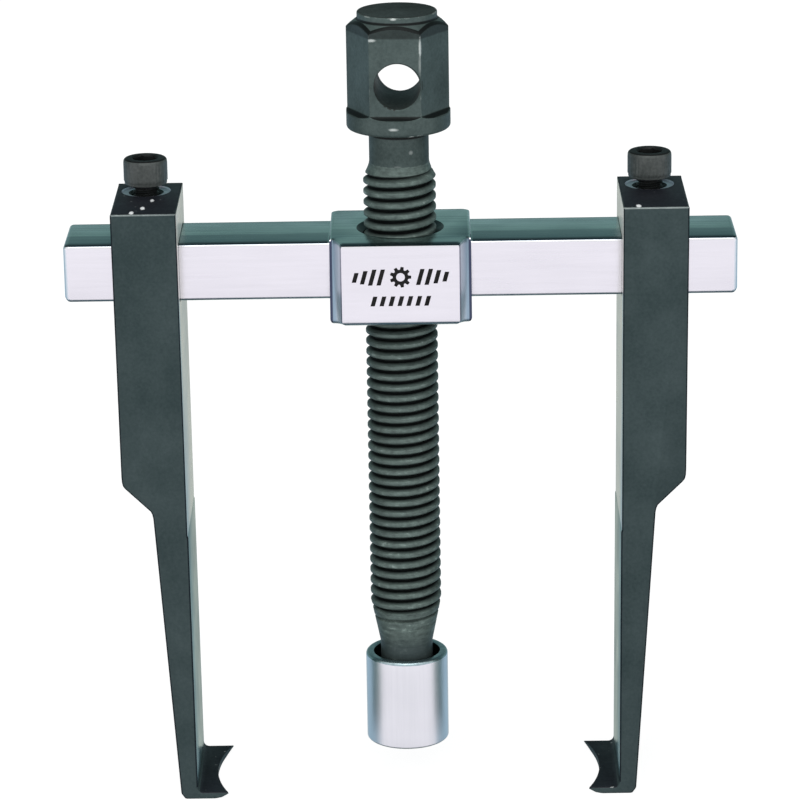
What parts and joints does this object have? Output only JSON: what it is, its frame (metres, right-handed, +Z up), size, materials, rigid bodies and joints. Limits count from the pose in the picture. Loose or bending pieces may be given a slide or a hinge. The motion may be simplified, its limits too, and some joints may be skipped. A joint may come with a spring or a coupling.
{
  "type": "gear puller",
  "caption": "Sliding-arm puller with thin claws: threaded beam, forcing screw with a swivelling pressure cap, and arms locked on the beam by clamp screws.",
  "frame": {"origin": "on the forcing screw's axis, in the plane of the claws' soles, which is the object's lowest plane and the plane it stands on", "axes": "+Z up along the forcing screw from the claws to its head, +X along the beam towards the right arm, +Y away from the front of the block"},
  "size_m": [0.1474, 0.0314, 0.1784],
  "materials": {
    "satin_chrome": "satin plated steel",
    "oiled_black_thread": "black oxide, oiled",
    "plated_cap_steel": "bright plated steel",
    "hardened_ball_steel": "polished hardened steel",
    "spring_wire": "spring steel wire",
    "black_oxide_steel": "forged steel, black oxide",
    "black_socket_screw": "black oxide"
  },
  "bodies": {
    "frame": {"beam": "satin_chrome"},
    "screw_carriage": {"thrust_ball": "hardened_ball_steel"},
    "screw": {"forcing_screw": "oiled_black_thread", "cap_retaining_ring": "spring_wire"},
    "cap": {"pressure_cap": "plated_cap_steel"},
    "left_jaw": {"left_arm": "black_oxide_steel"},
    "right_jaw": {"right_arm": "black_oxide_steel"},
    "left_clamp": {"left_clamp_screw": "black_socket_screw"},
    "right_clamp": {"right_clamp_screw": "black_socket_screw"}
  },
  "joints": [
    {"name": "screw_advance", "type": "slide", "parent": "frame", "child": "screw_carriage", "axis": [0, 0, 1], "range_m": [-0.022, 0.078]},
    {"name": "screw_turn", "type": "hinge", "parent": "screw_carriage", "child": "screw", "pos_m": [0, 0, 0.1298], "axis": [0, 0, 1], "range_deg": [-3240, 11470]},
    {"name": "cap_swivel", "type": "hinge", "parent": "screw_carriage", "child": "cap", "pos_m": [0, 0, 0.0149], "axis": [0, 0, 1], "continuous": true},
    {"name": "left_arm_slide", "type": "slide", "parent": "frame", "child": "left_jaw", "axis": [1, 0, 0], "range_m": [-0.0105, 0.0325]},
    {"name": "right_arm_slide", "type": "slide", "parent": "frame", "child": "right_jaw", "axis": [-1, 0, 0], "range_m": [-0.0105, 0.0325]},
    {"name": "left_clamp_lift", "type": "slide", "parent": "left_jaw", "child": "left_clamp", "axis": [0, 0, 1], "range_m": [0, 0.005]},
    {"name": "right_clamp_lift", "type": "slide", "parent": "right_jaw", "child": "right_clamp", "axis": [0, 0, 1], "range_m": [0, 0.005]}
  ],
  "couplings": [
    {"joint": "screw_turn", "follows": "screw_advance", "rad_per_m": 2564.6}
  ]
}
